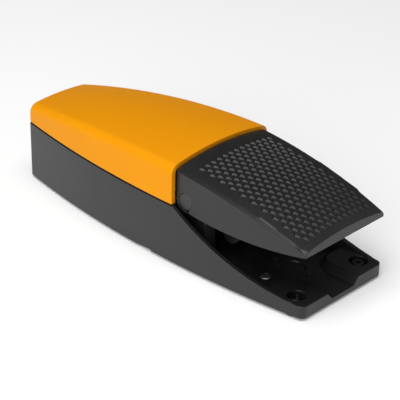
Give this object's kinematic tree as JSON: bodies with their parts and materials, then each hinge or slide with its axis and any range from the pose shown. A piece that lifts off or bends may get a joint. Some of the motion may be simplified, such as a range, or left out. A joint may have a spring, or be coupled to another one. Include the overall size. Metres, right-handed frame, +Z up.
{
  "type": "industrial foot switch",
  "caption": "Heavy-duty single-pedal foot switch: cast base with an open well, hinged pedal, crowned cover and plunger-operated contact block.",
  "frame": {"origin": "on the floor under the middle of the base's length and width, at the feet's lower faces", "axes": "+X towards the toe of the pedal, +Y to the left seen from behind, +Z up"},
  "size_m": [0.234, 0.0806, 0.0661],
  "materials": {
    "black_paint": "satin powder coat on cast metal",
    "yellow_paint": "satin yellow-orange paint",
    "rubber": "matt black rubber",
    "zinc_steel": "zinc-plated steel",
    "black_steel": "black oxide steel",
    "light_alloy": "plain cast light alloy",
    "bronze": "sintered bronze",
    "brass": "turned brass",
    "black_plastic": "moulded thermoset",
    "grey_plastic": "moulded plastic",
    "red_plastic": "moulded plastic"
  },
  "bodies": {
    "base": {"base_casting": "black_paint", "top_cover": "yellow_paint", "cover_gasket": "rubber", "cover_screws": "zinc_steel", "hinge_bushes": "bronze", "rest_pad": "rubber", "return_spring": "black_steel", "plunger_guide": "brass", "guide_nut": "brass", "plunger_seal": "rubber", "block_plate": "zinc_steel", "block_housing": "black_plastic", "block_lid": "grey_plastic", "fixed_contacts": "brass", "terminal_clamps": "zinc_steel", "terminal_screws": "zinc_steel", "block_screws": "zinc_steel", "earth_clamp": "zinc_steel", "earth_screw": "zinc_steel", "feet": "rubber", "deck_screws": "black_steel", "foot_nuts": "zinc_steel", "rear_foot_screws": "zinc_steel"},
    "pedal": {"pedal": "black_paint", "hinge_pin": "black_steel", "retaining_rings": "zinc_steel", "actuator_arm": "light_alloy", "arm_screws": "zinc_steel", "stop_buffer": "rubber"},
    "plunger": {"plunger": "zinc_steel"},
    "carrier": {"contact_carrier": "red_plastic", "moving_bridges": "brass"}
  },
  "joints": [
    {"name": "pedal", "type": "hinge", "parent": "base", "child": "pedal", "pos_m": [0.0306, 0, 0.0421], "axis": [0, 1, 0], "range_deg": [0, 14], "stiffness_Nm_per_rad": 3.7, "springref_deg": -7.73, "deforming": ["return_spring"]},
    {"name": "plunger", "type": "slide", "parent": "base", "child": "plunger", "axis": [-1, 0, 0], "range_m": [0, 0.0058]},
    {"name": "contact_carrier", "type": "slide", "parent": "base", "child": "carrier", "axis": [-1, 0, 0], "range_m": [0, 0.0058]}
  ],
  "couplings": [
    {"joint": "plunger", "follows": "pedal", "m_per_rad": 0.0236},
    {"joint": "contact_carrier", "follows": "pedal", "m_per_rad": 0.0236}
  ]
}
